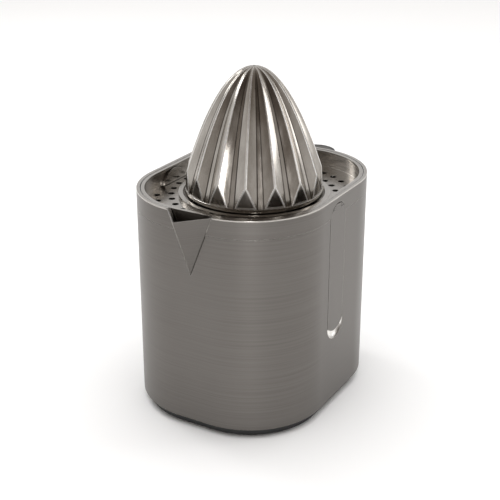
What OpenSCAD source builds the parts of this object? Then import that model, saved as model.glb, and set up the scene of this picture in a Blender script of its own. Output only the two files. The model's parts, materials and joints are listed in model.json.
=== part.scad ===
// Electric citrus press: a motor base in a brushed steel housing, a lift-out juice bowl
// with a folded V spout, a strainer tray and a ribbed reamer that starts when pressed.
// +Z is up, the spout points to -Y, and the origin is on the table under the body's middle.

/* [Body] */
// Width of the body across its flat sides
body_w = 110; // [104:1:140]
// Length of the body from front to back, without spout and handle
body_l = 133; // [126:1:170]
// Radius of the body's upright corners
corner_r = 45; // [36:1:50]
// Height of the rim above the table
rim_h = 128; // [120:1:160]
// Thickness of the steel sheet
sheet = 0.8; // [0.6:0.1:1]
// Height of the steel band around the top of the bowl
band_h = 9.6; // [8:0.1:12]
// Thickness of that band
band_t = 1.2; // [1:0.1:1.4]

/* [Base] */
// Height of the black base ring, feet included
base_h = 5.5; // [5:0.1:9]
// How far the base ring stands in from the housing
base_inset = 3.2; // [1:0.1:5]
// Thickness of the base floor
floor_t = 2.5; // [2:0.1:4]
// How far the feet hold the base off the table
foot_gap = 0.8; // [0.5:0.1:2]
// Radius of a rubber foot
foot_r = 7; // [4:0.5:8]

/* [Bowl and spout] */
// Height of the bowl's underside above the table
bowl_z = 64.5; // [64.5:0.5:72]
// Inner radius of the chimney that lets the drive shaft through the bowl
chimney_r = 10.2; // [10:0.1:14]
// Half width of the spout at the rim
spout_half = 13.7; // [8:0.1:18]
// How far the spout runs down the front
spout_drop = 34.6; // [20:0.1:40]
// How far the spout's tip stands out from the front
spout_reach = 15.4; // [8:0.1:22]

/* [Rear handle] */
// Half width of the steel tab
tab_half = 10; // [8:0.5:14]
// Reach of the tab behind the housing
tab_reach = 19; // [16:0.5:28]
// Thickness of the tab
tab_t = 1.6; // [1:0.1:3]
// How far the tab's top lies below the rim
tab_drop = 5.2; // [4.5:0.1:6]
// Width of the black border around the tab
grip_border = 2.2; // [1.5:0.1:4]
// Thickness of the hanging grip
grip_t = 6; // [4:0.5:9]
// Length of the hanging grip
grip_l = 52; // [30:1:80]

/* [Side handles] */
// Half width of a side handle
side_half = 9; // [7:0.1:12]
// Thickness of a side handle
side_t = 2.2; // [1.6:0.1:2.4]
// Place of the side handles along the body
side_y = -4.6; // [-12:0.1:12]
// How far a side handle's top lies below the rim
side_drop = 3.8; // [3.6:0.1:5]
// Height of a side handle's lower end above the table
side_low = 48.5; // [40:0.5:60]
// Room for a fingertip below a side handle
scoop_h = 5; // [3:0.1:10]
// Radius of the hinge pins
hinge_pin_r = 0.6; // [0.5:0.05:0.7]

/* [Strainer] */
// Depth of the tray floor below the rim
tray_depth = 9.9; // [8:0.1:14]
// Width of the rim from the housing's face to the tray's mouth
rim_w = 4.35; // [3.6:0.05:6]
// Diameter of a strainer hole
hole_d = 3.8; // [2:0.1:4]
// Radius of the inner ring of holes
hole_ring_r = 46.5; // [45:0.1:47]
// Outer radius of the raised collar around the reamer
collar_r = 42.4; // [41:0.1:44]
// Height of that collar above the tray floor
collar_h = 2.1; // [1:0.1:4]

/* [Reamer] */
// Height of the reamer's tip above the tray floor
reamer_h = 72.9; // [60:0.1:84]
// Radius of the reamer's skirt
skirt_r = 38.6; // [34:0.1:39]
// Height of the skirt's top above the tray floor
skirt_h = 4.5; // [3:0.1:7]
// Number of ribs
rib_count = 15; // [9:1:20]
// Fullness of the ogive: ridge radius at one millimetre below the tip
ogive = 5.02; // [4.6:0.01:5.1]

/* [Drive] */
// Radius of the drive shaft
shaft_r = 4; // [3:0.1:5]
// Travel of the shaft from rest to running
press_travel = 2; // [1:0.1:2.5]
// Gear module of the output stage
output_module = 1; // [0.8:0.05:1]
// Gear module of the motor stage
motor_module = 0.7; // [0.5:0.05:0.7]
// Teeth on each large gear
wheel_teeth = 42; // [36:2:42]
// Teeth on each pinion
pinion_teeth = 12; // [12:1:14]
// Radius of the motor can
motor_r = 20; // [14:0.5:20]

/* [Hidden] */
$fn = 96;

eps = 0.01;
steel = [0.50, 0.48, 0.45];
bright_steel = [0.66, 0.63, 0.59];
black_plastic = [0.10, 0.10, 0.10];
white_plastic = [0.85, 0.85, 0.82];
brass = [0.78, 0.62, 0.32];
copper = [0.70, 0.38, 0.20];
rubber = [0.14, 0.14, 0.14];

// Running and standing gaps
run_gap = 0.05;
slide_gap = 0.3;
lift_gap = 0.4;
seam_gap = 0.3;

// Plan of the body
half_w = body_w / 2;
half_l = body_l / 2;

// Levels of the base
floor_z = foot_gap + floor_t;
plate_z = 36;
plate_t = 2.5;
gear_z = plate_z + plate_t;
cover_z = 57;
deck_z = 60;
deck_t = 2.5;

// Layers of the bowl, measured in from the housing's face
bowl_in = band_t;
seat_w = 1.8;
bowl_low_in = bowl_in + seat_w;
recess_in = side_t + 0.6;
groove_gap = 0.6;
groove_in = recess_in + sheet + groove_gap;
recess_half = side_half + slide_gap;
groove_half = recess_half + sheet + lift_gap;
notch_gap = 0.4;

// Levels of the bowl and its tray
tray_z = rim_h - tray_depth;
shoulder_z = tray_z - sheet;
band_z = rim_h - sheet - band_h;
housing_top = band_z - seam_gap;
chimney_top = tray_z - 5.3;
tray_low_z = tray_z - 2.8;
tray_wall_in = bowl_in + sheet + lift_gap;
throat_r = 9;
collar_w = 2.4;
pan_r = collar_r - collar_w;
throat_top = tray_z + 9.7;

// Side handle levels and hinge
side_top = rim_h - side_drop;
side_arch_z = side_top - side_half;
recess_top = side_top + slide_gap;
groove_top = recess_top + groove_half - recess_half;
recess_low_z = side_low - scoop_h;
side_end_r = 12;
hinge_z = side_top - 1.8;
hinge_in = side_t / 2;
tongue_r = 1.6;
cheek_r = 1.5;
cheek_gap = 0.25;
cheek_in = 3.2;
cheek_side_gap = 0.3;
pin_grip = 0.8;

// Rear tab
tab_top = rim_h - tab_drop;
tab_end_y = half_l + tab_reach - tab_half;
rivet_r = 0.9;
rivet_head_r = 1.4;
rivet_head_t = 0.6;
rivet_at = 6;
rivet_z = band_z + 1.9;

// Spout: distance of its facets from the middle of its mouth
spout_normal = 1 / sqrt(1 / pow(spout_half, 2) + 1 / pow(spout_reach, 2) + 1 / pow(spout_drop, 2));
spout_inner = 1 - sheet / spout_normal;

// Drive train places
output_r = output_module * (wheel_teeth + pinion_teeth) / 2;
motor_stage_r = motor_module * (wheel_teeth + pinion_teeth) / 2;
idler_at = [0, output_r];
motor_turn = -20;
motor_at = idler_at + motor_stage_r * [cos(motor_turn), sin(motor_turn)];
tooth_deg = 360 / wheel_teeth;
idler_wheel_z = gear_z + 0.9;
idler_pinion_z = idler_wheel_z + 3.4;
output_z = 46.2;
output_face = 6.8;
idler_top_z = cover_z - 2;
cup_t = 1.1;
shaft_low_z = 33.2;
shaft_top_z = tray_z + 31.7;
square_low_z = tray_z + 10;
square_half = shaft_r * 0.69;
tower_r = 9;
cover_ring_r = 16;
bowl_ring_r = 22;
ring_t = 2;
tower_top = tray_low_z - 14;
bushing_h = 12;
seal_h = 4;
tower_ledge_z = tower_top - seal_h - bushing_h;
bushing_r = shaft_r + 3;
lower_bushing_r = shaft_r + 2.5;
rotor_shaft_r = 1.5;
idler_pin_r = 2;
clip_drop = 1;
clip_z = tower_ledge_z - 1.5 - clip_drop;
plunger_r = 1.4;
plunger_top = shaft_low_z - 0.1;
plunger_low_z = 27;

// Switch and its pedestal on the base floor
switch_low = [-14, -8, 17.7];
switch_size = [20, 10, 11.3];
fence_t = 2.7;
fence_gap = 0.3;
fence_top = 23;
fence_y = 3;

// Cord inlet at the lower back
inlet_z = 17;
inlet_r = 5;

// Fasteners
post_at = [38, 36];
post_r = 4.5;
foot_at = [24, 50];
base_screw_r = 1.5;
screw_head_r = 2.9;
lug_at = [[-24, -18], [24, -18], [-20, 42], [20, 44]];
lug_r = 4.3;
motor_screw_reach = 13;

// Reamer profile
tip_z = tray_z + reamer_h;
skirt_z = tray_z + skirt_h;
skirt_low_z = tray_z + 1.2;
valley_share = 0.09;
valley_deg = 360 / rib_count * 0.4;
facet_lean = 0.1;
rib_turn = -90.8;
hub_r = 7.4;

function ridge_r(z) = ogive * sqrt(max(tip_z - z, 0));
function valley_r(z) = ridge_r(z) * (1 - valley_share);
function ring_pos(r, a) = r * [cos(a), sin(a)];

// ---------- Shared shapes ----------

// Plan of the body, moved in by d
module plan(d = 0) {
    w = half_w - d;
    l = half_l - d;
    r = corner_r - d;
    square([2 * (w - r), 2 * l], center = true);
    square([2 * w, 2 * (l - r)], center = true);
    for (x = [-1, 1], y = [-1, 1]) translate([x * (w - r), y * (l - r)]) circle(r);
}

// Slab of that plan between two heights
module slab(d, z0, z1) {
    translate([0, 0, z0]) linear_extrude(z1 - z0) plan(d);
}

// Wall of that plan between two depths and two heights
module wall(d0, d1, z0, z1) {
    difference() {
        slab(d0, z0, z1);
        slab(d1, z0 - 1, z1 + 1);
    }
}

module disc(r, z0, z1, at = [0, 0]) {
    translate([at.x, at.y, z0]) cylinder(r = r, h = z1 - z0);
}

module tube(r_out, r_in, z0, z1, at = [0, 0]) {
    difference() {
        disc(r_out, z0, z1, at);
        disc(r_in, z0 - 1, z1 + 1, at);
    }
}

// Block with a round top and bottom, cut into one flat side of the body.
// side is 1 or -1, depth is measured in from the side's face.
module side_slot(side, depth, half, low_z, arch_z, end_r) {
    translate([side * (half_w - depth), side_y, 0]) rotate([90, 0, side * 90])
        linear_extrude(depth + 1) {
            translate([0, arch_z]) circle(half);
            translate([-half, low_z + end_r]) square([2 * half, arch_z - low_z - end_r]);
            intersection() {
                translate([0, low_z + end_r]) circle(end_r);
                translate([-half, low_z]) square([2 * half, end_r + eps]);
            }
        }
}

// Slots on both sides, from a low height to under a round top
module side_slots(depth, half, low_z, top_z) {
    for (side = [-1, 1]) side_slot(side, depth, half, low_z, top_z - half, half);
}

// V outline of the spout seen from the front, shrunk by share and run back to y1
module spout_prism(share, y1) {
    translate([0, y1, rim_h]) rotate([90, 0, 0]) linear_extrude(half_l + y1)
        polygon([[-spout_half * share, eps], [spout_half * share, eps], [0, -spout_drop * share]]);
}

// Beak in front of the housing's face, shrunk by share
module spout_beak(share) {
    top = rim_h + eps;
    polyhedron(
        points = [
            [-spout_half * share, -half_l, top], [spout_half * share, -half_l, top],
            [0, -half_l, rim_h - spout_drop * share], [0, -half_l - spout_reach * share, top]
        ],
        faces = [[0, 2, 1], [0, 1, 3], [3, 1, 2], [0, 3, 2]]
    );
}

// Spur gear outline with a tooth along angle 0
module gear_outline(teeth, size) {
    pitch_r = size * teeth / 2;
    root_r = pitch_r - 1.2 * size;
    tip_r = pitch_r + 0.8 * size;
    half_t = 180 / PI * 0.7 * size;
    root_deg = (half_t + 16 * size) / root_r;
    tip_deg = (half_t - 18 * size) / tip_r;
    polygon([
        for (i = [0 : teeth - 1], k = [[root_r, -root_deg], [pitch_r, -half_t / pitch_r],
            [tip_r, -tip_deg], [tip_r, tip_deg], [pitch_r, half_t / pitch_r], [root_r, root_deg]])
            ring_pos(k[0], i * 360 / teeth + k[1])
    ]);
}

module gear(teeth, size, z0, z1, at, turn) {
    translate([at.x, at.y, z0]) rotate(turn) linear_extrude(z1 - z0) gear_outline(teeth, size);
}

// ---------- Base ----------

module base_plate() {
    color(black_plastic) difference() {
        union() {
            difference() {
                slab(base_inset, foot_gap, base_h);
                slab(base_inset + 3, floor_z, base_h + 1);
            }
            wall(sheet + 3.6, sheet + 5.2, floor_z - eps, base_h + 4);
            for (x = [-1, 1], y = [-1, 1])
                disc(6, floor_z - eps, base_h, [x * post_at.x, y * post_at.y]);
            switch_pedestal();
        }
        for (x = [-1, 1], y = [-1, 1]) {
            disc(base_screw_r + 0.2, 0, base_h + 1, [x * post_at.x, y * post_at.y]);
            disc(screw_head_r + slide_gap, 0, foot_gap + 2, [x * post_at.x, y * post_at.y]);
        }
        for (at = foot_spots()) disc(foot_r + 0.1, 0, foot_gap + 1.5, at);
    }
}

// One foot near each corner and one in the middle, below the switch
function foot_spots() =
    concat([[0, 0]], [for (x = [-1, 1], y = [-1, 1]) [x * foot_at.x, y * foot_at.y]]);

// Block that carries the switch between two low walls
module switch_pedestal() {
    low = [switch_low.x - fence_gap - fence_t, switch_low.y - fence_y];
    size = [switch_size.x + 2 * (fence_gap + fence_t), switch_size.y + fence_y];
    translate([low.x, low.y, floor_z - eps]) cube([size.x, size.y, switch_low.z - floor_z]);
    for (x = [low.x, low.x + size.x - fence_t])
        translate([x, low.y, switch_low.z - 1]) cube([fence_t, size.y, fence_top - switch_low.z + 1]);
}

module rubber_feet() {
    color(rubber) for (at = foot_spots()) disc(foot_r, 0, foot_gap + 1.5, at);
}

module base_screws() {
    color(bright_steel) for (x = [-1, 1], y = [-1, 1]) {
        at = [x * post_at.x, y * post_at.y];
        disc(screw_head_r, foot_gap + 0.2, foot_gap + 2, at);
        disc(base_screw_r, foot_gap + 2 - eps, base_h + 12, at);
    }
}

// Steel sleeve with a turned-in bottom flange, a V notch and two side recesses
module housing_shell() {
    color(steel) difference() {
        difference() {
            slab(0, base_h, housing_top);
            side_slots(recess_in, recess_half, recess_low_z, recess_top);
        }
        difference() {
            slab(sheet, base_h + sheet, housing_top + 1);
            side_slots(recess_in + sheet, recess_half + sheet, recess_low_z - sheet, recess_top + sheet);
        }
        slab(sheet + 3.2, base_h - 1, base_h + 2);
        spout_prism(1 + lift_gap / spout_normal, -half_l + 20);
        translate([0, half_l + 1, inlet_z]) rotate([90, 0, 0]) cylinder(r = inlet_r, h = 10);
    }
}

module cord_inlet() {
    color(black_plastic) translate([0, half_l, inlet_z]) rotate([-90, 0, 0]) difference() {
        union() {
            cylinder(r = inlet_r + 2, h = 1.6);
            translate([0, 0, -sheet - eps]) cylinder(r = inlet_r, h = sheet + 1);
            translate([0, 0, -sheet - 5]) cylinder(r = inlet_r + 1.5, h = 5);
        }
        translate([0, 0, -8]) cylinder(r = inlet_r - 1.8, h = 12);
    }
}

// ---------- Chassis ----------

module deck() {
    color(black_plastic) difference() {
        union() {
            difference() {
                slab(sheet + slide_gap, deck_z, deck_z + deck_t);
                side_slots(recess_in + sheet + slide_gap, recess_half + sheet + slide_gap,
                    recess_low_z, recess_top);
            }
            for (x = [-1, 1], y = [-1, 1])
                disc(post_r, base_h, deck_z + eps, [x * post_at.x, y * post_at.y]);
            for (at = lug_at) disc(lug_r, gear_z, deck_z + eps, at);
            tube(cover_ring_r, cover_ring_r - ring_t, cover_z, deck_z + eps);
            tube(bowl_ring_r, bowl_ring_r - ring_t, deck_z + deck_t - eps, bowl_z);
            disc(tower_r, deck_z, tower_top);
        }
        disc(bushing_r + 0.8, deck_z - 5, tower_ledge_z - 1.5);
        disc(shaft_r + 1.4, tower_ledge_z - 2, tower_ledge_z + 1);
        disc(bushing_r, tower_ledge_z, tower_top + 1);
        for (x = [-1, 1], y = [-1, 1])
            disc(base_screw_r + run_gap, base_h - 1, base_h + 14, [x * post_at.x, y * post_at.y]);
        for (at = lug_at) disc(base_screw_r + run_gap, gear_z - 1, gear_z + 14, at);
    }
}

module upper_bushing() {
    color(brass) tube(bushing_r, shaft_r + run_gap, tower_ledge_z, tower_ledge_z + bushing_h);
}

module lower_bushing() {
    color(brass) tube(lower_bushing_r, shaft_r + run_gap, plate_z, gear_z);
}

module shaft_seal() {
    color(rubber) tube(bushing_r, shaft_r + run_gap, tower_top - seal_h, tower_top);
}

// ---------- Gearbox ----------

module gearbox_outline(grow = 0) {
    circle(23 + grow);
    translate(idler_at) circle(16.2 + grow);
    translate(motor_at) circle(6.5 + grow);
}

module lug_arm(at) {
    rotate(atan2(at.y, at.x)) translate([0, -4]) square([norm(at), 8]);
}

module gearbox_plate() {
    color(steel) difference() {
        translate([0, 0, plate_z]) linear_extrude(plate_t) {
            gearbox_outline(2);
            translate(motor_at) circle(17);
            for (at = lug_at) {
                lug_arm(at);
                translate(at) circle(lug_r + 0.5);
            }
        }
        disc(lower_bushing_r, plate_z - 1, gear_z + 1);
        disc(idler_pin_r, plate_z - 1, gear_z + 1, idler_at);
        disc(5, plate_z - 1, gear_z + 1, motor_at);
        for (at = lug_at) disc(base_screw_r + 0.2, plate_z - 1, gear_z + 1, at);
        for (at = motor_screw_spots()) {
            disc(1.4, plate_z - 1, gear_z + 1, at);
            disc(2.7, gear_z - 1.6, gear_z + 1, at);
        }
    }
}

function motor_screw_spots() =
    [for (side = [-1, 1]) motor_at + side * motor_screw_reach * [cos(motor_turn - 21), sin(motor_turn - 21)]];

module gearbox_cover() {
    color(white_plastic) difference() {
        translate([0, 0, gear_z]) linear_extrude(cover_z - gear_z) gearbox_outline(1.8);
        translate([0, 0, gear_z - 1]) linear_extrude(cover_z - gear_z - 0.5) gearbox_outline();
        disc(11, gear_z, cover_z + 1);
        disc(idler_pin_r, gear_z, cover_z + 1, idler_at);
    }
}

module gearbox_screws() {
    color(bright_steel) for (at = lug_at) {
        disc(screw_head_r, plate_z - 2, plate_z, at);
        disc(base_screw_r, plate_z - eps, gear_z + 12, at);
    }
}

module idler_pin() {
    color(bright_steel) disc(idler_pin_r, plate_z, cover_z, idler_at);
}

// Wheel and pinion in one piece; the wheel meshes with the motor's pinion
module idler_gear() {
    color(white_plastic) difference() {
        union() {
            gear(wheel_teeth, motor_module, idler_wheel_z, idler_pinion_z + eps, idler_at, motor_turn);
            gear(pinion_teeth, output_module, idler_pinion_z, idler_top_z, idler_at, -90);
        }
        disc(idler_pin_r + 0.06, gear_z, cover_z, idler_at);
    }
}

module output_gear() {
    color(white_plastic) difference() {
        union() {
            gear(wheel_teeth, output_module, output_z, output_z + output_face, [0, 0], 90 + tooth_deg / 2);
            disc(shaft_r + 5, output_z, output_z + output_face + 1.6);
        }
        disc(shaft_r, output_z - 1, cover_z);
        for (a = [0 : 60 : 300]) disc(3, output_z - 1, cover_z, ring_pos(14.2, a));
    }
}

// ---------- Motor ----------

module motor_can() {
    color(steel) difference() {
        disc(motor_r, 7.5, plate_z, motor_at);
        disc(motor_r - 1, 7, plate_z - 2, motor_at);
        disc(rotor_shaft_r + run_gap, 7, plate_z + 1, motor_at);
        for (at = motor_screw_spots()) disc(1.2, plate_z - 7, plate_z + 1, at);
    }
}

module motor_end_cap() {
    color(black_plastic) difference() {
        union() {
            disc(motor_r, 5.7, 7.5, motor_at);
            disc(4, 7.4, 10, motor_at);
        }
        disc(rotor_shaft_r + run_gap, 6.4, 11, motor_at);
    }
}

module motor_coil() {
    color(copper) tube(motor_r - 1.2, 11, 10.5, 28.5, motor_at);
}

module motor_screws() {
    color(bright_steel) for (at = motor_screw_spots()) {
        disc(2.6, gear_z - 1.6, gear_z, at);
        disc(1.2, plate_z - 1.9, gear_z - 1.6 + eps, at);
    }
}

module rotor_magnet() {
    color(black_plastic) tube(10.3, rotor_shaft_r, 11, 28, motor_at);
}

module rotor_shaft() {
    color(bright_steel) disc(rotor_shaft_r, 6.5, idler_pinion_z, motor_at);
}

module motor_pinion() {
    color(brass) difference() {
        gear(pinion_teeth, motor_module, idler_wheel_z, idler_pinion_z, motor_at, motor_turn + 180 + 180 / pinion_teeth);
        disc(rotor_shaft_r, gear_z, cover_z, motor_at);
    }
}

// ---------- Press drive and switch ----------

module drive_shaft() {
    color(bright_steel) difference() {
        union() {
            disc(shaft_r, shaft_low_z, square_low_z);
            translate([-square_half, -square_half, square_low_z - eps])
                cube([2 * square_half, 2 * square_half, shaft_top_z - square_low_z + eps]);
        }
        tube(shaft_r + 1, shaft_r - 0.6, clip_z, clip_z + 0.8);
    }
}

module shaft_clip() {
    color(steel) tube(shaft_r + 2.6, shaft_r - 0.6, clip_z, clip_z + 0.8);
}

module spring_cup() {
    color(brass) tube(shaft_r + 5, shaft_r + run_gap, output_z - cup_t, output_z);
}

// Compression spring between the gearbox plate and the cup
module press_spring() {
    turns = 3.25;
    steps = 24;
    wire_r = 0.5;
    sides = 8;
    coil_r = shaft_r + 3;
    low = gear_z + wire_r;
    high = output_z - cup_t - wire_r;
    count = turns * steps;
    color(steel) polyhedron(
        points = [
            for (i = [0 : count], s = [0 : sides - 1])
                let (a = i * 360 / steps, t = -s * 360 / sides, r = coil_r + wire_r * cos(t),
                    z = low + (high - low) * i / count)
                [r * cos(a), r * sin(a), z + wire_r * sin(t)]
        ],
        faces = concat(
            [[for (s = [0 : sides - 1]) s]],
            [[for (s = [sides - 1 : -1 : 0]) count * sides + s]],
            [
                for (i = [0 : count - 1], s = [0 : sides - 1])
                    let (n = (s + 1) % sides)
                    [i * sides + s, (i + 1) * sides + s, (i + 1) * sides + n, i * sides + n]
            ]
        )
    );
}

module switch_body() {
    color(black_plastic) difference() {
        translate(switch_low) cube(switch_size);
        disc(plunger_r + 0.1, plunger_low_z - 3, switch_low.z + switch_size.z + 1);
    }
}

module switch_plunger() {
    color(white_plastic) disc(plunger_r, plunger_low_z, plunger_top);
}

// ---------- Juice bowl ----------

// Outer form of the bowl, moved in by d
module bowl_form(d, floor_h) {
    difference() {
        union() {
            slab(bowl_low_in + d, floor_h, rim_h + d);
            slab(bowl_in + d, shoulder_z - sheet + d, rim_h + d);
        }
        side_slots(groove_in + d, groove_half + d, bowl_z - 30, groove_top + d);
    }
}

module bowl_body() {
    color(bright_steel) difference() {
        union() {
            bowl_form(0, bowl_z);
            slab(0, rim_h - sheet, rim_h);
        }
        difference() {
            bowl_form(sheet, bowl_z + sheet);
            disc(chimney_r + sheet, bowl_z, chimney_top);
        }
        disc(chimney_r, bowl_z - 1, rim_h);
        slab(bowl_in + sheet, shoulder_z, rim_h + 1);
        spout_prism(1, -half_l + 20);
    }
    color(bright_steel) groove_backs();
}

// Wall of the two side grooves inside the wide mouth of the bowl
module groove_backs() {
    difference() {
        intersection() {
            slab(bowl_in + sheet - eps, shoulder_z - eps, groove_top + sheet);
            side_slots(groove_in + sheet, groove_half + sheet, bowl_z, groove_top + sheet);
        }
        side_slots(groove_in, groove_half, bowl_z - 30, groove_top);
    }
}

module bowl_band() {
    color(steel) difference() {
        wall(0, band_t, band_z, rim_h - sheet);
        side_slots(band_t + 2, recess_half, bowl_z, recess_top);
        spout_prism(1, -half_l + 20);
        at_rivets() cylinder(r = rivet_r, h = 4 * band_t, center = true);
    }
}

module pour_spout() {
    color(steel) difference() {
        union() {
            spout_beak(1);
            intersection() {
                spout_prism(1, -half_l + bowl_low_in + sheet);
                slab(0, 0, rim_h);
            }
        }
        spout_beak(spout_inner);
        spout_prism(spout_inner, -half_l + 20);
        slab(bowl_in + sheet, shoulder_z, rim_h + 1);
        translate([0, 0, rim_h]) linear_extrude(2) square(2 * body_l, center = true);
    }
}

// Plan of the rear tab, grown by g
module tab_outline(g = 0) {
    intersection() {
        translate([0, tab_end_y]) circle(tab_half + g);
        translate([-tab_half - g, tab_end_y - eps]) square(2 * (tab_half + g));
    }
    translate([-tab_half - g, half_l]) square([2 * (tab_half + g), tab_end_y - half_l]);
}

module rear_handle_tab() {
    low_z = band_z + 0.3;
    color(steel) difference() {
        union() {
            translate([0, 0, tab_top - tab_t]) linear_extrude(tab_t) tab_outline();
            translate([-tab_half + 0.5, half_l, low_z])
                cube([2 * tab_half - 1, tab_t, tab_top - tab_t - low_z + eps]);
        }
        at_rivets() cylinder(r = rivet_r, h = 2 * (band_t + tab_t));
    }
}

// Black grip: a border around the tab and a curved shell that hangs below it
module rear_handle_grip() {
    low_z = tab_top - grip_l;
    color(black_plastic) difference() {
        union() {
            translate([0, 0, tab_top - tab_t - 3]) linear_extrude(tab_t + 3) intersection() {
                tab_outline(grip_border);
                translate([-50, half_l + 6]) square([100, 100]);
            }
            translate([0, 0, low_z]) linear_extrude(grip_l - 1) intersection() {
                tab_outline(grip_border);
                translate([-50, tab_end_y]) square([100, 100]);
            }
        }
        translate([0, 0, tab_top - tab_t]) linear_extrude(10) tab_outline();
        translate([0, 0, low_z - 1]) linear_extrude(grip_l - tab_t - 2) tab_outline(grip_border - grip_t);
    }
}

module handle_rivets() {
    color(bright_steel) at_rivets() {
        cylinder(r = rivet_r, h = band_t + tab_t + eps);
        translate([0, 0, band_t + tab_t]) cylinder(r = rivet_head_r, h = rivet_head_t);
    }
}

// Puts its children at both rivets, with Z pointing out of the back of the band
module at_rivets() {
    for (x = [-rivet_at, rivet_at])
        translate([x, half_l - band_t, rivet_z]) rotate([-90, 0, 0]) children();
}

// ---------- Side handles ----------

// Puts its children at the hinge of one side, with X pointing out of the body
module at_hinge(side) {
    translate([side * (half_w - hinge_in), side_y, hinge_z]) mirror([side < 0 ? 1 : 0, 0, 0]) children();
}

module hinge_rod(r, half) {
    rotate([90, 0, 0]) translate([0, 0, -half]) cylinder(r = r, h = 2 * half);
}

// Outline of a hinge cheek, seen along the pin with X pointing out of the body
module cheek_outline() {
    back = groove_in - hinge_in;
    circle(cheek_r);
    translate([-back, 0.5 - cheek_r]) square([back, cheek_r - 0.5]);
    translate([-back, 0]) square([groove_in, 2 * side_half]);
}

// Two fixed cheeks a side, which complete the handle's round top and hold its pin
module hinge_brackets() {
    color(steel) for (side = [-1, 1]) difference() {
        intersection() {
            side_slot(side, groove_in, side_half, side_low, side_arch_z, side_end_r);
            at_hinge(side) rotate([90, 0, 0]) linear_extrude(2 * side_half, center = true)
                cheek_outline();
            slab(0, 0, rim_h);
        }
        at_hinge(side) {
            translate([-groove_in, -cheek_in, -side_half])
                cube([2 * groove_in, 2 * cheek_in, 3 * side_half]);
            hinge_rod(hinge_pin_r, cheek_in + pin_grip);
        }
    }
}

module hinge_pins() {
    color(bright_steel) for (side = [-1, 1]) at_hinge(side) hinge_rod(hinge_pin_r, cheek_in + pin_grip);
}

// Flat steel strip with a shallow rounded lower end. Above the hinge only a tongue of it stands
// between the fixed cheeks; the shoulders beside the tongue are hollowed about the pin.
module side_handle(side) {
    color(steel) difference() {
        intersection() {
            side_slot(side, side_t, side_half, side_low, side_arch_z, side_end_r);
            slab(0, 0, rim_h);
            union() {
                slab(0, 0, hinge_z);
                at_hinge(side) hinge_rod(tongue_r, side_half);
            }
        }
        at_hinge(side) {
            hinge_rod(hinge_pin_r + run_gap, side_half);
            for (end = [-1, 1]) translate([0, end * (cheek_in - cheek_side_gap + side_half), 0]) {
                hinge_rod(cheek_r + cheek_gap, side_half);
                translate([-side_t, -side_half, 0]) cube([2 * side_t, 2 * side_half, side_half]);
            }
        }
    }
}

module left_side_handle() {
    side_handle(-1);
}

module right_side_handle() {
    side_handle(1);
}

// ---------- Strainer tray ----------

module tray_notch() {
    side_slots(groove_in + sheet + notch_gap, groove_half + sheet + notch_gap, bowl_z,
        groove_top + sheet + notch_gap);
}

// Two rings of holes: a full one around the collar, and one in the four corners
module tray_holes() {
    inner = 33;
    outer = 38;
    for (i = [0 : inner - 1]) let (p = ring_pos(hole_ring_r, 3 + i * 360 / inner))
        disc(hole_d / 2, tray_z - 3, tray_z + 3, p);
    for (i = [0 : outer - 1]) let (p = ring_pos(hole_ring_r + 8, 4.7 + i * 360 / outer))
        if (in_tray(p, hole_d / 2 + 1.4)) disc(hole_d / 2, tray_z - 3, tray_z + 3, p);
}

// True when a point lies inside the tray floor with a margin
function in_tray(p, margin) =
    let (
        d = tray_wall_in + sheet + margin,
        c = [half_w - corner_r, half_l - corner_r],
        q = [max(abs(p.x) - c.x, 0), max(abs(p.y) - c.y, 0)]
    ) norm(q) < corner_r - d;

module strainer_tray() {
    color(bright_steel) difference() {
        union() {
            difference() {
                slab(tray_wall_in, shoulder_z, rim_h - 0.2);
                slab(tray_wall_in + sheet, tray_z, rim_h - 1.6);
                slab(rim_w, tray_z, rim_h + 1);
            }
            tube(collar_r, pan_r, shoulder_z, tray_z + collar_h);
            tube(pan_r + sheet, pan_r, tray_low_z - sheet, tray_z + collar_h);
            disc(pan_r + sheet, tray_low_z - sheet, tray_low_z);
            disc(throat_r + sheet, tray_low_z - eps, throat_top);
        }
        tube(collar_r - sheet, pan_r + sheet, shoulder_z - 1, tray_z + collar_h - sheet);
        tube(pan_r, throat_r + sheet, tray_low_z, tray_z + 20);
        disc(throat_r, tray_low_z - 2, throat_top + 1);
        for (a = [0 : 30 : 330]) disc(1.5, tray_low_z - 2, tray_low_z + 1, ring_pos(27, a));
        tray_holes();
        tray_notch();
    }
}

// ---------- Reamer ----------

// Ribbed ogive down to the skirt, before its sides are cut. Each rib has a ridge, a flank to
// each side and half of the flat valley on both sides of it.
module ribbed_ogive(low_z) {
    steps = 22;
    around = 4 * rib_count;
    rib = 360 / rib_count;
    span = tip_z - low_z;
    rib_points = [0, valley_deg, rib / 2, rib - valley_deg];
    function level(i) = tip_z - span * pow(i / steps, 1.6);
    points = concat(
        [for (i = [1 : steps], j = [0 : around - 1])
            let (k = j % 4, z = level(i), a = floor(j / 4) * rib + rib_points[k],
                r = k == 0 ? ridge_r(z) : valley_r(z))
            [r * cos(a + rib_turn), r * sin(a + rib_turn), z]],
        [[0, 0, tip_z], [0, 0, low_z]]
    );
    tip = steps * around;
    polyhedron(
        points = points,
        faces = concat(
            [for (j = [0 : around - 1]) [tip, (j + 1) % around, j]],
            [for (j = [0 : around - 1])
                let (b = (steps - 1) * around) [tip + 1, b + j, b + (j + 1) % around]],
            [for (i = [0 : steps - 2], j = [0 : around - 1])
                let (a = i * around, b = a + around, n = (j + 1) % around) [a + j, a + n, b + n]],
            [for (i = [0 : steps - 2], j = [0 : around - 1])
                let (a = i * around, b = a + around, n = (j + 1) % around) [a + j, b + n, b + j]]
        )
    );
}

// Smooth space inside the ribs
module ogive_hollow(gap, low_z) {
    steps = 14;
    top = tip_z - 6;
    rotate_extrude() polygon(concat(
        [[0, low_z]],
        [for (i = [steps : -1 : 0]) let (z = top - (top - skirt_z) * i / steps)
            [min(valley_r(z + 3) - gap, skirt_r - 2 * gap), z]],
        [[0, top]]
    ));
}

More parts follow.
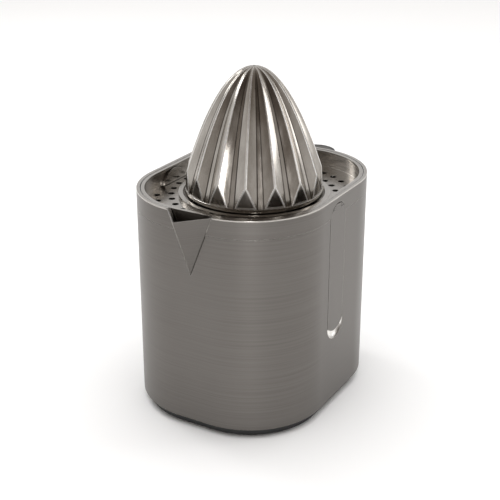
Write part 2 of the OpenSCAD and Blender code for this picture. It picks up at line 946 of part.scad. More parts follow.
module reamer_cone() {
    color(bright_steel) difference() {
        union() {
            intersection() {
                ribbed_ogive(skirt_z - eps);
                translate([0, 0, skirt_z - 1])
                    cylinder(r1 = skirt_r - 0.2, r2 = skirt_r - 0.2 - facet_lean * reamer_h, h = reamer_h);
            }
            disc(skirt_r, skirt_low_z, skirt_z);
        }
        ogive_hollow(sheet, skirt_low_z);
        disc(skirt_r - 2 * sheet, skirt_low_z - 1, skirt_z + eps);
    }
}

module reamer_hub() {
    disc_z = throat_top + press_travel + 2;
    color(black_plastic) difference() {
        union() {
            disc(hub_r, tray_z + 1, shaft_top_z + 3);
            intersection() {
                disc(skirt_r, disc_z, disc_z + 2);
                ogive_hollow(sheet + 0.1, skirt_z);
            }
            for (a = [0 : 60 : 300]) rotate(a) translate([hub_r - 1, -0.8, disc_z]) cube([16, 1.6, 12]);
        }
        disc(shaft_r + slide_gap, tray_z, square_low_z + slide_gap);
        translate([-square_half - slide_gap, -square_half - slide_gap, tray_z])
            cube([2 * (square_half + slide_gap), 2 * (square_half + slide_gap), shaft_top_z - tray_z]);
    }
}

base_plate();
rubber_feet();
base_screws();
housing_shell();
cord_inlet();
deck();
gearbox_plate();
gearbox_cover();
gearbox_screws();
idler_pin();
lower_bushing();
upper_bushing();
shaft_seal();
motor_can();
motor_end_cap();
motor_coil();
motor_screws();
switch_body();
spring_cup();
press_spring();
switch_plunger();
drive_shaft();
output_gear();
shaft_clip();
idler_gear();
rotor_magnet();
rotor_shaft();
motor_pinion();
bowl_body();
bowl_band();
pour_spout();
rear_handle_tab();
rear_handle_grip();
handle_rivets();
hinge_brackets();
hinge_pins();
left_side_handle();
right_side_handle();
strainer_tray();
reamer_cone();
reamer_hub();
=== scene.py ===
"""Looks of the citrus press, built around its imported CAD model."""

import json
import math

import bmesh
import bpy
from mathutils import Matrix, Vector


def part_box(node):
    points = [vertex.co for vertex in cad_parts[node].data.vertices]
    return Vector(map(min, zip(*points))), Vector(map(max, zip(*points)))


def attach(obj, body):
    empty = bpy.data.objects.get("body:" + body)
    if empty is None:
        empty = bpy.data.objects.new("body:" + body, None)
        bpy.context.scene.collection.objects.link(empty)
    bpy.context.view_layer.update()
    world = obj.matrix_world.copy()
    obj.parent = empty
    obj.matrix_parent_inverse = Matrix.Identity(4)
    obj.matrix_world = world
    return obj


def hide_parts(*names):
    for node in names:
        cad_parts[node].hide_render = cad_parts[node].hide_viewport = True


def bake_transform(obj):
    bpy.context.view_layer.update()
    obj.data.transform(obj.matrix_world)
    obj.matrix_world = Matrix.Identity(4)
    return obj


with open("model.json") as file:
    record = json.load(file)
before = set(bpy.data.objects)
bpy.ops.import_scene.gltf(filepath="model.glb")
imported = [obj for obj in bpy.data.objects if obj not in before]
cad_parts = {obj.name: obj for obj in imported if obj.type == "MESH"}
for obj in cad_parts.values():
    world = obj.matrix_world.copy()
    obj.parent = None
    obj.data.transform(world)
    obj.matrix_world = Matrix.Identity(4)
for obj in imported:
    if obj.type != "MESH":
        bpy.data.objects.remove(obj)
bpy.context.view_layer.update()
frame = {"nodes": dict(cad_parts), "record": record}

MM = 0.001

# ---------------------------------------------------------------- sizes from the frame

SHELL_LOW, SHELL_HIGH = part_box("housing_shell")
RIM_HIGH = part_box("bowl_body")[1].z
HALF_W = SHELL_HIGH.x
HALF_L = SHELL_HIGH.y
CORNER_R = 45 * MM
SHEET = 0.8 * MM
FLAT_STRIP = 0.8 * MM


# ---------------------------------------------------------------- mesh tools

def outline(inset, per_corner=40):
    """Plan of the body moved in by inset, as points running anticlockwise.

    Each flat side has a narrow strip at both ends, so that its middle is shaded flat.
    """
    w, l, r = HALF_W - inset, HALF_L - inset, CORNER_R - inset
    points = []
    for quarter, (sx, sy) in enumerate(((1, 1), (-1, 1), (-1, -1), (1, -1))):
        for i in range(-1, per_corner + 2):
            a = math.pi / 2 * (quarter + min(max(i, 0), per_corner) / per_corner)
            x, y = sx * (w - r) + r * math.cos(a), sy * (l - r) + r * math.sin(a)
            run = FLAT_STRIP if i < 0 else -FLAT_STRIP if i > per_corner else 0
            points.append((x + run * math.sin(a), y - run * math.cos(a)))
    return points


def circle(radius, count):
    """Points of a circle about the origin."""
    angles = [math.tau * i / count for i in range(count)]
    return [(radius * math.cos(a), radius * math.sin(a)) for a in angles]


def new_object(name, bm):
    """Turns a bmesh into an object in the scene."""
    bmesh.ops.recalc_face_normals(bm, faces=bm.faces)
    mesh = bpy.data.meshes.new(name)
    bm.to_mesh(mesh)
    bm.free()
    obj = bpy.data.objects.new(name, mesh)
    bpy.context.scene.collection.objects.link(obj)
    return obj


def stack(name, rings, closed=False):
    """Skins a list of rings of equal length, each ring a list of 3-D points."""
    bm = bmesh.new()
    rows = [[bm.verts.new(p) for p in ring] for ring in rings]
    following = rows[1:] + rows[:1] if closed else rows[1:]
    for low, high in zip(rows, following):
        for i in range(len(low)):
            j = (i + 1) % len(low)
            bm.faces.new((low[i], low[j], high[j], high[i]))
    if not closed:
        bm.faces.new(rows[0][::-1])
        bm.faces.new(rows[-1])
    return new_object(name, bm)


def slab(name, levels):
    """Solid on the body's plan: levels are (inset, height) from bottom to top."""
    return stack(name, [[(x, y, z) for x, y in outline(d)] for d, z in levels])


def band(name, profile):
    """Ring on the body's plan: profile is a closed loop of (inset, height)."""
    return stack(name, [[(x, y, z) for x, y in outline(d)] for d, z in profile], closed=True)


def extruded(name, points, direction):
    """Solid swept from a flat 3-D outline along a direction."""
    shift = Vector(direction)
    return stack(name, [points, [tuple(Vector(p) + shift) for p in points]])


def apply_modifiers(obj):
    """Puts a piece's modifiers into its mesh."""
    graph = bpy.context.evaluated_depsgraph_get()
    mesh = bpy.data.meshes.new_from_object(obj.evaluated_get(graph))
    old = obj.data
    obj.modifiers.clear()
    obj.data = mesh
    bpy.data.meshes.remove(old)


def cut(obj, *others):
    """Cuts solids away from a piece, and removes them."""
    for other in others:
        step = obj.modifiers.new("cut", "BOOLEAN")
        step.operation = "DIFFERENCE"
        step.solver = "EXACT"
        step.object = other
    apply_modifiers(obj)
    for other in others:
        bpy.data.objects.remove(other)
    return obj


def joined_mesh(name, parts):
    """One object that holds several separate solids."""
    bm = bmesh.new()
    for part in parts:
        bm.from_mesh(part.data)
        bpy.data.objects.remove(part)
    return new_object(name, bm)


def soften(obj, width, dissolve=False):
    """Rounds the sharp edges and shades the piece smoothly; dissolve first joins flat faces."""
    angle = 32
    bm = bmesh.new()
    bm.from_mesh(obj.data)
    bmesh.ops.remove_doubles(bm, verts=bm.verts, dist=0.004 * MM)
    if dissolve:
        bmesh.ops.dissolve_limit(
            bm, angle_limit=math.radians(0.4), verts=bm.verts, edges=bm.edges, use_dissolve_boundaries=False
        )
    bm.to_mesh(obj.data)
    bm.free()
    edge = obj.modifiers.new("edges", "BEVEL")
    edge.width = width
    edge.segments = 2
    edge.limit_method = "ANGLE"
    edge.angle_limit = math.radians(angle)
    edge.harden_normals = False
    edge.use_clamp_overlap = True
    apply_modifiers(obj)
    smooth(obj, angle)
    return obj


def smooth(obj, angle):
    """Shades a piece smoothly, but for edges sharper than the angle in degrees."""
    mesh = obj.data
    mesh.shade_smooth()
    mesh.set_sharp_from_angle(angle=math.radians(angle))
    corrected = obj.modifiers.new("normals", "WEIGHTED_NORMAL")
    corrected.keep_sharp = True
    apply_modifiers(obj)


def rounded_copy(node, width):
    """Copy of a CAD node with its sharp edges rounded."""
    bm = bmesh.new()
    bm.from_mesh(frame["nodes"][node].data)
    bmesh.ops.remove_doubles(bm, verts=bm.verts, dist=0.002 * MM)
    return soften(new_object(node + "_look", bm), width, dissolve=True)


# ---------------------------------------------------------------- materials

def new_material(name, metallic, **values):
    """Material with constant values on its shader."""
    material = bpy.data.materials.new(name)
    material.use_nodes = True
    shader = material.node_tree.nodes["Principled BSDF"]
    shader.inputs["Metallic"].default_value = metallic
    for key, value in values.items():
        shader.inputs[key.replace("_", " ")].default_value = value
    return material


def pattern(material, scale, detail, roughness):
    """Noise in object space. scale is in cycles per metre along X, Y and Z."""
    nodes, links = material.node_tree.nodes, material.node_tree.links
    place = nodes.new("ShaderNodeTexCoord")
    stretch = nodes.new("ShaderNodeMapping")
    stretch.inputs["Scale"].default_value = scale
    grain = nodes.new("ShaderNodeTexNoise")
    grain.inputs["Scale"].default_value = 1.0
    grain.inputs["Detail"].default_value = detail
    grain.inputs["Roughness"].default_value = roughness
    links.new(place.outputs["Object"], stretch.inputs["Vector"])
    links.new(stretch.outputs["Vector"], grain.inputs["Vector"])
    return grain.outputs["Fac"]


def spread(material, value, low, high, start=0.3, end=0.7):
    """Maps a pattern's usual span onto a range of values."""
    node = material.node_tree.nodes.new("ShaderNodeMapRange")
    for key, number in (("From Min", start), ("From Max", end), ("To Min", low), ("To Max", high)):
        node.inputs[key].default_value = number
    material.node_tree.links.new(value, node.inputs["Value"])
    return node.outputs["Result"]


def weighted_sum(material, *terms):
    """Sum of patterns, each (pattern, share)."""
    total = None
    for value, share in terms:
        node = material.node_tree.nodes.new("ShaderNodeMath")
        node.operation = "MULTIPLY_ADD"
        node.inputs[1].default_value = share
        node.inputs[2].default_value = 0.0
        material.node_tree.links.new(value, node.inputs[0])
        if total is not None:
            material.node_tree.links.new(total, node.inputs[2])
        total = node.outputs["Value"]
    return total


def blend_colors(material, factor, a, b):
    """Mixes two colours or colour sockets by a factor socket."""
    node = material.node_tree.nodes.new("ShaderNodeMix")
    node.data_type = "RGBA"
    for socket, value in (("A_Color", a), ("B_Color", b)):
        target = next(i for i in node.inputs if i.identifier == socket)
        if isinstance(value, tuple):
            target.default_value = (*value, 1)
        else:
            material.node_tree.links.new(value, target)
    material.node_tree.links.new(factor, next(i for i in node.inputs if i.identifier == "Factor_Float"))
    return next(o for o in node.outputs if o.identifier == "Result_Color")


def edge_mask(material):
    """1 beside the rounded edges, 0 on the faces."""
    reach = 0.35 * MM
    nodes, links = material.node_tree.nodes, material.node_tree.links
    shape = nodes.new("ShaderNodeNewGeometry")
    rounded = nodes.new("ShaderNodeBevel")
    rounded.samples = 4
    rounded.inputs["Radius"].default_value = reach
    likeness = nodes.new("ShaderNodeVectorMath")
    likeness.operation = "DOT_PRODUCT"
    links.new(shape.outputs["Normal"], likeness.inputs[0])
    links.new(rounded.outputs["Normal"], likeness.inputs[1])
    return spread(material, likeness.outputs["Value"], 0.0, 1.0, 0.99, 0.90)


def connect(material, color, roughness, height, depth, strength):
    """Links colour, roughness and surface relief to the shader."""
    nodes, links = material.node_tree.nodes, material.node_tree.links
    shader = nodes["Principled BSDF"]
    bump = nodes.new("ShaderNodeBump")
    bump.inputs["Distance"].default_value = depth
    bump.inputs["Strength"].default_value = strength
    links.new(color, shader.inputs["Base Color"])
    links.new(roughness, shader.inputs["Roughness"])
    links.new(height, bump.inputs["Height"])
    links.new(bump.outputs["Normal"], shader.inputs["Normal"])
    return material


def steel(
    name, dark, light, rough, line_scale,
    patch_scale=22.0, depth=0.015 * MM, strength=0.4, worn=None, **values
):
    """Steel with fine lines, cloudy patches and, where worn is a colour, edges of that colour."""
    material = new_material(name, 1.0, **values)
    lines = pattern(material, line_scale, 3.0, 0.55)
    patches = pattern(material, (patch_scale,) * 3, 2.0, 0.5)
    tone = weighted_sum(material, (lines, 0.7), (patches, 0.3))
    color = blend_colors(material, spread(material, tone, 0.0, 1.0, 0.36, 0.64), dark, light)
    if worn:
        color = blend_colors(material, edge_mask(material), color, worn)
    roughness = spread(material, tone, *rough, 0.38, 0.62)
    return connect(material, color, roughness, lines, depth, strength)


def brushed_steel(name, dark, light, worn):
    """Steel brushed along the body's outline, so its gloss stretches up and down."""
    material = steel(
        name, dark, light, (0.36, 0.44), (13, 13, 1500), depth=0.010 * MM, strength=0.3, worn=worn,
        Anisotropic=0.25, Anisotropic_Rotation=0.25,
    )
    tangent = material.node_tree.nodes.new("ShaderNodeTangent")
    tangent.direction_type = "RADIAL"
    tangent.axis = "Z"
    material.node_tree.links.new(
        tangent.outputs["Tangent"], material.node_tree.nodes["Principled BSDF"].inputs["Tangent"]
    )
    return material


def plastic(name, dark, light, rough, worn, grain=900.0, depth=0.03 * MM):
    """Moulded plastic or rubber with a fine grain, cloudy gloss and rubbed edges."""
    material = new_material(name, 0.0)
    fine = pattern(material, (grain,) * 3, 2.0, 0.5)
    clouds = pattern(material, (35,) * 3, 3.0, 0.6)
    color = blend_colors(material, spread(material, clouds, 0.0, 1.0), dark, light)
    color = blend_colors(material, edge_mask(material), color, worn)
    roughness = spread(material, clouds, *rough)
    return connect(material, color, roughness, fine, depth, 0.5)


def copper_winding():
    """Lacquered wire wound round the motor."""
    material = new_material("copper_winding", 1.0)
    nodes, links = material.node_tree.nodes, material.node_tree.links
    place = nodes.new("ShaderNodeTexCoord")
    wires = nodes.new("ShaderNodeTexWave")
    wires.bands_direction = "Z"
    wires.inputs["Scale"].default_value = 420
    wires.inputs["Distortion"].default_value = 1.5
    links.new(place.outputs["Object"], wires.inputs["Vector"])
    tone = wires.outputs["Fac"]
    color = blend_colors(material, tone, (0.20, 0.06, 0.02), (0.62, 0.26, 0.10))
    return connect(material, color, spread(material, tone, 0.45, 0.28, 0, 1), tone, 0.25 * MM, 0.8)


# Finish of each material slot in the record
FINISHES = {
    "brushed_steel": brushed_steel(
        "brushed_steel", (0.148, 0.138, 0.128), (0.180, 0.169, 0.158), worn=(0.50, 0.48, 0.45)
    ),
    "satin_steel": steel(
        "satin_steel", (0.44, 0.415, 0.385), (0.52, 0.495, 0.465), (0.20, 0.27), (50, 50, 900),
        depth=0.004 * MM, worn=(0.80, 0.78, 0.75),
    ),
    "bright_steel": steel(
        "bright_steel", (0.52, 0.50, 0.47), (0.66, 0.64, 0.60), (0.16, 0.28), (300, 300, 300),
        depth=0.008 * MM, worn=(0.75, 0.73, 0.70),
    ),
    "black_plastic": plastic(
        "black_plastic", (0.010, 0.010, 0.011), (0.017, 0.017, 0.018), (0.38, 0.52), (0.035, 0.035, 0.036)
    ),
    "white_plastic": plastic(
        "white_plastic", (0.66, 0.64, 0.58), (0.76, 0.75, 0.70), (0.34, 0.48), (0.82, 0.81, 0.78),
        grain=500.0, depth=0.015 * MM,
    ),
    "rubber": plastic(
        "rubber", (0.014, 0.014, 0.014), (0.024, 0.023, 0.022), (0.72, 0.86), (0.045, 0.044, 0.042),
        grain=1400.0, depth=0.05 * MM,
    ),
    "bronze": steel(
        "bronze", (0.36, 0.22, 0.10), (0.52, 0.34, 0.16), (0.28, 0.42), (500, 500, 60),
        worn=(0.70, 0.52, 0.28),
    ),
    "copper": copper_winding(),
}

# Finishes of single stretches: the reamer's steel, a painted highlight on its ridge crests and facet edges,
# painted shade along its valleys and on its facets, a painted highlight in the scoops, and the hinges
reamer_steel = steel(
    "reamer_steel", (0.46, 0.425, 0.385), (0.60, 0.565, 0.52), (0.13, 0.23), (160, 160, 60),
    patch_scale=30.0, depth=0.02 * MM, strength=0.25, worn=(0.80, 0.78, 0.75),
)
# Painted highlight: near-white steel on the reamer's ridge crests and facet edges and in the scoops'
# hollows, standing in for the light they reflect
painted_highlight_steel = steel(
    "painted_highlight_steel", (0.84, 0.82, 0.79), (0.95, 0.93, 0.90), (0.38, 0.48), (200, 200, 500),
    worn=(0.95, 0.93, 0.90),
)
# Painted shade: near-black steel along the reamer's valleys
painted_shade_valley_steel = steel("painted_shade_valley_steel", (0.08, 0.07, 0.06), (0.14, 0.125, 0.11), (0.24, 0.36), (160, 160, 60))
# Painted shade: darker steel on the reamer's facets
painted_shade_facet_steel = steel(
    "painted_shade_facet_steel", (0.20, 0.185, 0.17), (0.46, 0.43, 0.40), (0.22, 0.34), (90, 90, 90), patch_scale=60.0
)
hinge_steel = steel(
    "hinge_steel", (0.15, 0.14, 0.13), (0.18, 0.17, 0.16), (0.36, 0.44), (300, 300, 900),
    worn=(0.24, 0.23, 0.22),
)

SLOTS = {row["node"]: row["material_slot"] for row in frame["record"]["subparts"]}
for node, obj in frame["nodes"].items():
    obj.data.materials.clear()
    obj.data.materials.append(FINISHES[SLOTS[node]])


# ---------------------------------------------------------------- pieces

BODY_OF = {node: body for body, nodes in frame["record"]["behaviour"]["bodies"].items() for node in nodes}


def stand_for(node, obj, *materials):
    """Puts a piece in a CAD node's place, on its body; without materials it takes the node's own."""
    body, slot = BODY_OF[node], SLOTS[node]
    marks = [face.material_index for face in obj.data.polygons]
    obj.data.materials.clear()
    for material in materials or (FINISHES[slot],):
        obj.data.materials.append(material)
    for face, mark in zip(obj.data.polygons, marks):
        face.material_index = mark
    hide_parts(node)
    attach(obj, body)


# Reamer

SKIRT_LOW_Z, TIP_Z = (corner.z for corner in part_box("reamer_cone"))
SKIRT_Z = SKIRT_LOW_Z + 3.3 * MM
SKIRT_R = 38.6 * MM
RIBS = 15
RIB_PITCH = math.tau / RIBS
FLANK = 0.4 * RIB_PITCH
RIB_TURN = math.radians(-90.8)
FULLNESS = 5.02
VALLEY_SHARE = 0.09
FACET_LEAN = 0.05
LINE_TURN = math.radians(0.6)
BORDER_DIP = 0.04 * MM
VALLEY_LIP = 0.05 * MM
RIDGE_ROUND = (0.35, 0.4, 0.5, 0.7)
TIP_SHARE = 0.35
LEVEL_CROWDING = 1.35
REAMER_LEVELS = 96
HOLLOW_LEVELS = 14
HOLLOW_DROP = 7 * MM

# Faces of one rib along a level, counted from the edge of the valley before it
RIB_FACES = 22
VALLEY_LINES = {0, 1, 18, 19}
FACET_BORDERS = {6, 7, 12, 13}
FACET_FACES = {8, 9, 10, 11}


def ridge_radius(z):
    """Radius of the ogive that the ridges follow."""
    return FULLNESS * math.sqrt(max(TIP_Z - z, 0) / MM) * MM


def facet_radius(z):
    """Cone that cuts the ribs off flat above the skirt."""
    return SKIRT_R - 0.2 * MM - FACET_LEAN * (z - SKIRT_Z + 1 * MM)


def rib_radius(z, angle):
    """Radius of the ribs at an angle from the nearest ridge."""
    share = VALLEY_SHARE * min(angle / FLANK, 1)
    return min(ridge_radius(z) * (1 - share), facet_radius(z))


def half_rib(z):
    """One level from a ridge to the middle of the valley, as (angle, radius).

    The facet ends at point 3, and the valley starts at point 9. Above the facets, points 0 to 3
    round the ridge off.
    """
    ridge, facet = ridge_radius(z), facet_radius(z)
    border = FLANK * (ridge - facet) / (ridge * VALLEY_SHARE) if ridge > facet else 0
    border = min(max(border, LINE_TURN), FLANK - LINE_TURN)
    gap = min(1.4 * LINE_TURN, border * 0.8, (FLANK - border) * 0.4)
    angles = [0, (border - gap) * 0.6, border - gap, border, border + gap]
    angles += [border + gap + (FLANK - LINE_TURN - border - gap) * k / 4 for k in (1, 2, 3, 4)]
    angles += [FLANK, FLANK + LINE_TURN, RIB_PITCH / 2]
    half = [(a, rib_radius(z, a)) for a in angles]
    if border > LINE_TURN:
        half[3] = (border, half[3][1] - BORDER_DIP)
    else:
        for point, share in enumerate(RIDGE_ROUND):
            half[point] = (half[point][0], rib_radius(z, LINE_TURN * share))
    half[9] = (FLANK, half[9][1] + VALLEY_LIP)
    return half


def rib_ring(z):
    """One level of the reamer."""
    half = half_rib(z)
    mirrored = [(-a, r) for a, r in half[1:-1]][::-1]
    points = []
    for rib in range(RIBS):
        for a, r in mirrored + half:
            turn = RIB_TURN + rib * RIB_PITCH + a
            points.append((r * math.cos(turn), r * math.sin(turn), z))
    return points


def round_ring(radius, z, like):
    """Round level with its vertices at the same angles as another level."""
    angles = [math.atan2(y, x) for x, y, _ in like]
    return [(radius * math.cos(a), radius * math.sin(a), z) for a in angles]


def mark_lines(cone, below, levels):
    """Gives the reamer's facet edges and ridge crests a painted highlight, and its valley lines and facets
    painted shade, each as its own material, by index.
    """
    for face in cone.data.polygons:
        row, column = divmod(face.index, RIBS * RIB_FACES)
        level, spot = row - below, column % RIB_FACES
        if not 0 <= level < len(levels) - 1:
            continue
        z = levels[level]
        has_facet = ridge_radius(z) > facet_radius(z) + 0.2 * MM
        if spot in FACET_BORDERS or (spot in FACET_FACES and (level == 0 or not has_facet)):
            # painted highlight on the facet borders and ridge crests
            face.material_index = 1
        elif spot in VALLEY_LINES:
            # painted shade along the valleys
            face.material_index = 2
        elif spot in FACET_FACES:
            # painted shade on the facets
            face.material_index = 3


def make_reamer():
    """Ribbed ogive with flat facets over a round skirt, hollow from below."""
    span = TIP_Z - SKIRT_Z
    heights = [1 - (1 - k / REAMER_LEVELS) ** LEVEL_CROWDING for k in range(REAMER_LEVELS)]
    levels = [SKIRT_Z + span * height for height in heights]
    rows = [rib_ring(z) for z in levels]
    skirt = [
        (SKIRT_R - SHEET, SKIRT_LOW_Z), (SKIRT_R - 0.25 * MM, SKIRT_LOW_Z),
        (SKIRT_R, SKIRT_LOW_Z + 0.25 * MM), (SKIRT_R, SKIRT_Z - 0.45 * MM),
        (SKIRT_R - 0.08 * MM, SKIRT_Z - 0.15 * MM), (SKIRT_R - 0.3 * MM, SKIRT_Z - 0.02 * MM),
    ]
    hollow_r = SKIRT_R - 2 * SHEET
    hollow_top = TIP_Z - HOLLOW_DROP
    hollow = [(0.4 * MM, hollow_top)]
    for k in range(1, HOLLOW_LEVELS + 1):
        z = hollow_top - (hollow_top - SKIRT_Z) * k / HOLLOW_LEVELS
        hollow.append((min(ridge_radius(z + 3 * MM) * (1 - VALLEY_SHARE) - SHEET, hollow_r), z))
    hollow.append((hollow_r, SKIRT_LOW_Z + 0.2 * MM))

    rings = [round_ring(r, z, rows[0]) for r, z in skirt] + rows
    rings.append([(x * TIP_SHARE, y * TIP_SHARE, TIP_Z - 0.02 * MM) for x, y, _ in rows[-1]])
    rings += [round_ring(r, z, rows[0]) for r, z in hollow]
    cone = stack("reamer_cone_look", rings, closed=True)
    smooth(cone, 20)
    mark_lines(cone, len(skirt), levels)
    return cone


# The reamer wears its own steel, a painted highlight, and painted shade along the valleys and on the facets
stand_for("reamer_cone", make_reamer(), reamer_steel, painted_highlight_steel, painted_shade_valley_steel, painted_shade_facet_steel)


# Housing and band

HANDLE_LOW, HANDLE_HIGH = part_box("right_side_handle")
HANDLE_HALF = (HANDLE_HIGH.y - HANDLE_LOW.y) / 2
HANDLE_Y = (HANDLE_HIGH.y + HANDLE_LOW.y) / 2
HANDLE_LENGTH = 75.7 * MM
HANDLE_TOP = HANDLE_LOW.z + HANDLE_LENGTH
RECESS_HALF = HANDLE_HALF + 0.3 * MM
RECESS_TOP = HANDLE_TOP + 0.3 * MM
RECESS_LOW = HANDLE_LOW.z - 5 * MM
RECESS_DEPTH = 2.8 * MM
SCOOP_W = 4.6 * MM
FLANGE_W = 3.2 * MM
BAND_T = 1.2 * MM
BAND_LOW, BAND_HIGH = (corner.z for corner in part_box("bowl_band"))
CREASE_GAP = 0.12 * MM
SEAM_Z = BAND_LOW - CREASE_GAP
SPOUT_HALF, SPOUT_DROP, SPOUT_NORMAL = 13.7 * MM, 34.6 * MM, 9.8 * MM
INLET_R = 5 * MM
INLET_Z = (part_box("cord_inlet")[0].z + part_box("cord_inlet")[1].z) / 2
PANEL_EDGE = 0.22 * MM


def arch(half, low, top, steps=20):
    """Upright outline with a round top and bottom, as (along, height) points."""
    points = []
    for center, start in ((top - half, 0), (low + half, math.pi)):
        for k in range(steps + 1):
            a = start + math.pi * k / steps
            points.append((half * math.cos(a), center + half * math.sin(a)))
    return points


def side_blocks(depth, half, low, top):
    """Solids on both flat sides of the body, from a depth to just outside of it."""
    outside = 3 * MM
    blocks = []
    for side in (-1, 1):
        points = [(side * (HALF_W - depth), HANDLE_Y + y, z) for y, z in arch(half, low, top)]
        blocks.append(extruded("block", points, (side * (depth + outside), 0, 0)))
    return blocks


def spout_notch(share):
    """V solid that cuts the spout's mouth, grown by a share."""
    front, reach = -HALF_L - MM, 20 * MM
    corners = ((-SPOUT_HALF, 0), (SPOUT_HALF, 0), (0, -SPOUT_DROP))
    points = [(x * share, front, RIM_HIGH + z * share) for x, z in corners]
    return extruded("notch", points, (0, reach, 0))


def make_scoop(side):
    """Hollow for a fingertip: the recess runs out to the face in a round below the handle."""
    center = RECESS_LOW + RECESS_HALF
    deep, around = 12, 40
    start = 0.1 * MM
    span = RECESS_DEPTH - 0.15 * MM
    rows = []
    for k in range(deep + 1):
        a = math.pi / 2 * k / deep
        across = RECESS_HALF - SCOOP_W * (1 - math.cos(a)) ** 0.9
        depth = span * math.sin(a) + start
        rows.append([
            (side * (HALF_W - depth), HANDLE_Y + across * math.cos(b), center + across * math.sin(b))
            for b in (math.pi * (1 + i / around) for i in range(around + 1))
        ])
    bm = bmesh.new()
    verts = [[bm.verts.new(p) for p in row] for row in rows]
    for low, high in zip(verts, verts[1:]):
        for i in range(around):
            bm.faces.new((low[i], low[i + 1], high[i + 1], high[i]))
    scoop = new_object("scoop", bm)
    smooth(scoop, 60)
    for face in scoop.data.polygons:
        # The scoop takes the second material, a painted highlight
        face.material_index = 1
    return scoop


def make_housing():
    """Sleeve with a turned-in bottom, a V notch for the spout, side recesses and the cord's hole."""
    above = SHELL_HIGH.z + 20 * MM
    floor_in = SHEET + FLANGE_W
    shell = slab("housing_look", [(0, SHELL_LOW.z), (0, SEAM_Z)])
    room = slab("room", [(SHEET, SHELL_LOW.z + SHEET), (SHEET, above)])
    low, high = RECESS_LOW - SHEET, RECESS_TOP + SHEET
    cut(room, *side_blocks(RECESS_DEPTH + SHEET, RECESS_HALF + SHEET, low, high))
    cut(shell, room, slab("floor_hole", [(floor_in, 0), (floor_in, SHELL_LOW.z + 2 * MM)]))
    cut(shell, *side_blocks(RECESS_DEPTH, RECESS_HALF, RECESS_LOW, RECESS_TOP))
    cut(shell, spout_notch(1 + CREASE_GAP / SPOUT_NORMAL))
    hole = [(x, HALF_L - 5 * MM, INLET_Z + z) for x, z in circle(INLET_R, 48)]
    cut(shell, extruded("hole", hole, (0, 8 * MM, 0)))
    soften(shell, PANEL_EDGE)
    return joined_mesh("housing_look", [shell, make_scoop(-1), make_scoop(1)])


def make_band():
    """Band round the top of the bowl, cut out for the handles and the spout."""
    below = 70 * MM
    look = band("band_look", [(0, BAND_LOW), (BAND_T, BAND_LOW), (BAND_T, BAND_HIGH), (0, BAND_HIGH)])
    cut(look, *side_blocks(BAND_T + 2 * MM, RECESS_HALF, below, RECESS_TOP))
    cut(look, spout_notch(1))
    return soften(look, PANEL_EDGE)


# The housing's second material paints a highlight into the scoops
stand_for("housing_shell", make_housing(), FINISHES[SLOTS["housing_shell"]], painted_highlight_steel)
stand_for("bowl_band", make_band())


# Pieces that are CAD nodes with rounded edges, with the width of the rounding in millimetres
EDGE_WIDTHS = (
    ("pour_spout", 0.3), ("bowl_body", 0.2), ("strainer_tray", 0.25), ("left_side_handle", 0.3),
    ("right_side_handle", 0.3), ("rear_handle_tab", 0.35), ("rear_handle_grip", 0.6), ("base_plate", 0.5),
    ("cord_inlet", 0.4), ("rubber_feet", 0.4), ("reamer_hub", 0.3), ("handle_rivets", 0.25),
)
for node, width in EDGE_WIDTHS:
    stand_for(node, rounded_copy(node, width * MM))
stand_for("hinge_brackets", rounded_copy("hinge_brackets", 0.2 * MM), hinge_steel)


def add_spring():
    """Copy of the coil spring between the gearbox plate and its cup, at its rest length; it is not made to
    shorten as the shaft goes down.
    """
    mesh = frame["nodes"]["press_spring"].data.copy()
    spring = bpy.data.objects.new("press_spring_look", mesh)
    bpy.context.scene.collection.objects.link(spring)
    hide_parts("press_spring")
    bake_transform(spring)


add_spring()


# ---------------------------------------------------------------- camera and stage

CAMERA_AZIMUTH = math.radians(30.2)
CAMERA_HEIGHT = math.radians(22.9)
CAMERA_DISTANCE = 0.629
CAMERA_TARGET = Vector((-0.00195, -0.00114, 0.0834))
CAMERA_LENS = 78.7


def look_from(azimuth, height, distance, target):
    """Place and rotation that look at target from an azimuth and a height angle."""
    back = Vector((
        math.sin(azimuth) * math.cos(height),
        -math.cos(azimuth) * math.cos(height),
        math.sin(height),
    ))
    return target + back * distance, back.to_track_quat("Z", "Y")


def add_camera():
    """Camera at the angle and distance of the reference view."""
    data = bpy.data.cameras.new("camera")
    data.lens = CAMERA_LENS
    data.clip_end = 20
    camera = bpy.data.objects.new("camera", data)
    bpy.context.scene.collection.objects.link(camera)
    place, turn = look_from(CAMERA_AZIMUTH, CAMERA_HEIGHT, CAMERA_DISTANCE, CAMERA_TARGET)
    camera.location = place
    camera.rotation_euler = turn.to_euler()
    bpy.context.scene.camera = camera


def add_light(name, azimuth, height, distance, size, watts, mirrored=True):
    """Softbox that faces the middle of the press; if it isn't mirrored, metal doesn't reflect it."""
    data = bpy.data.lights.new(name, "AREA")
    data.shape = "RECTANGLE"
    data.size, data.size_y = size
    data.energy = watts
    light = bpy.data.objects.new(name, data)
    bpy.context.scene.collection.objects.link(light)
    place, turn = look_from(math.radians(azimuth), math.radians(height), distance, CAMERA_TARGET)
    light.location = place
    light.rotation_euler = turn.to_euler()
    light.visible_glossy = mirrored


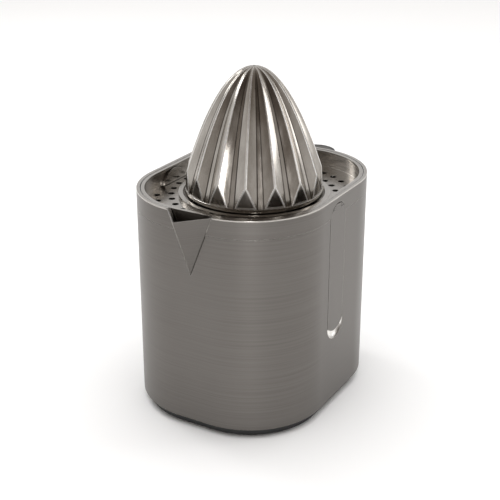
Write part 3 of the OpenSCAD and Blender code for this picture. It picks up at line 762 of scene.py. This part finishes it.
def add_floor():
    """Wide pale matt floor."""
    mesh = bpy.data.meshes.new("floor")
    reach = 8
    corners = [(-reach, -reach, 0), (reach, -reach, 0), (reach, reach, 0), (-reach, reach, 0)]
    mesh.from_pydata(corners, [], [(0, 1, 2, 3)])
    floor = bpy.data.objects.new("floor", mesh)
    bpy.context.scene.collection.objects.link(floor)
    material = bpy.data.materials.new("floor")
    material.use_nodes = True
    shader = material.node_tree.nodes["Principled BSDF"]
    shader.inputs["Base Color"].default_value = (0.92, 0.92, 0.92, 1)
    shader.inputs["Roughness"].default_value = 0.9
    mesh.materials.append(material)


def set_world(dark_side, colors, strength):
    """Pale walls with a dark patch in one direction: colors run from the pale side to the dark one."""
    world = bpy.data.worlds.new("studio")
    world.use_nodes = True
    nodes, links = world.node_tree.nodes, world.node_tree.links
    place = nodes.new("ShaderNodeTexCoord")
    facing = nodes.new("ShaderNodeVectorMath")
    facing.operation = "DOT_PRODUCT"
    facing.inputs[1].default_value = dark_side
    ramp = nodes.new("ShaderNodeValToRGB")
    while len(ramp.color_ramp.elements) < len(colors):
        ramp.color_ramp.elements.new(0.5)
    for stop, (position, color) in zip(ramp.color_ramp.elements, colors):
        stop.position = position
        stop.color = (*color, 1)
    shift = nodes.new("ShaderNodeMath")
    shift.operation = "MULTIPLY_ADD"
    shift.inputs[1].default_value = 0.5
    shift.inputs[2].default_value = 0.5
    links.new(place.outputs["Generated"], facing.inputs[0])
    links.new(facing.outputs["Value"], shift.inputs[0])
    links.new(shift.outputs["Value"], ramp.inputs["Fac"])
    links.new(ramp.outputs["Color"], nodes["Background"].inputs["Color"])
    nodes["Background"].inputs["Strength"].default_value = strength
    bpy.context.scene.world = world


add_camera()
add_floor()
set_world((0.25, -0.43, 0.87), [
    (0.50, (0.95, 0.95, 0.95)), (0.72, (0.62, 0.60, 0.58)),
    (0.86, (0.26, 0.23, 0.205)), (1.0, (0.07, 0.055, 0.045)),
], 0.8)
add_light("overhead", 30, 89, 2.4, (3.4, 3.4), 84, mirrored=False)
add_light("left_box", -100, 34, 1.1, (0.24, 0.6), 1.8)
add_light("front_box", 30, 8, 1.3, (0.14, 0.6), 2.4)
add_light("right_box", 128, 26, 1.1, (0.30, 0.7), 1.5)

bpy.context.scene.view_settings.view_transform = "Standard"
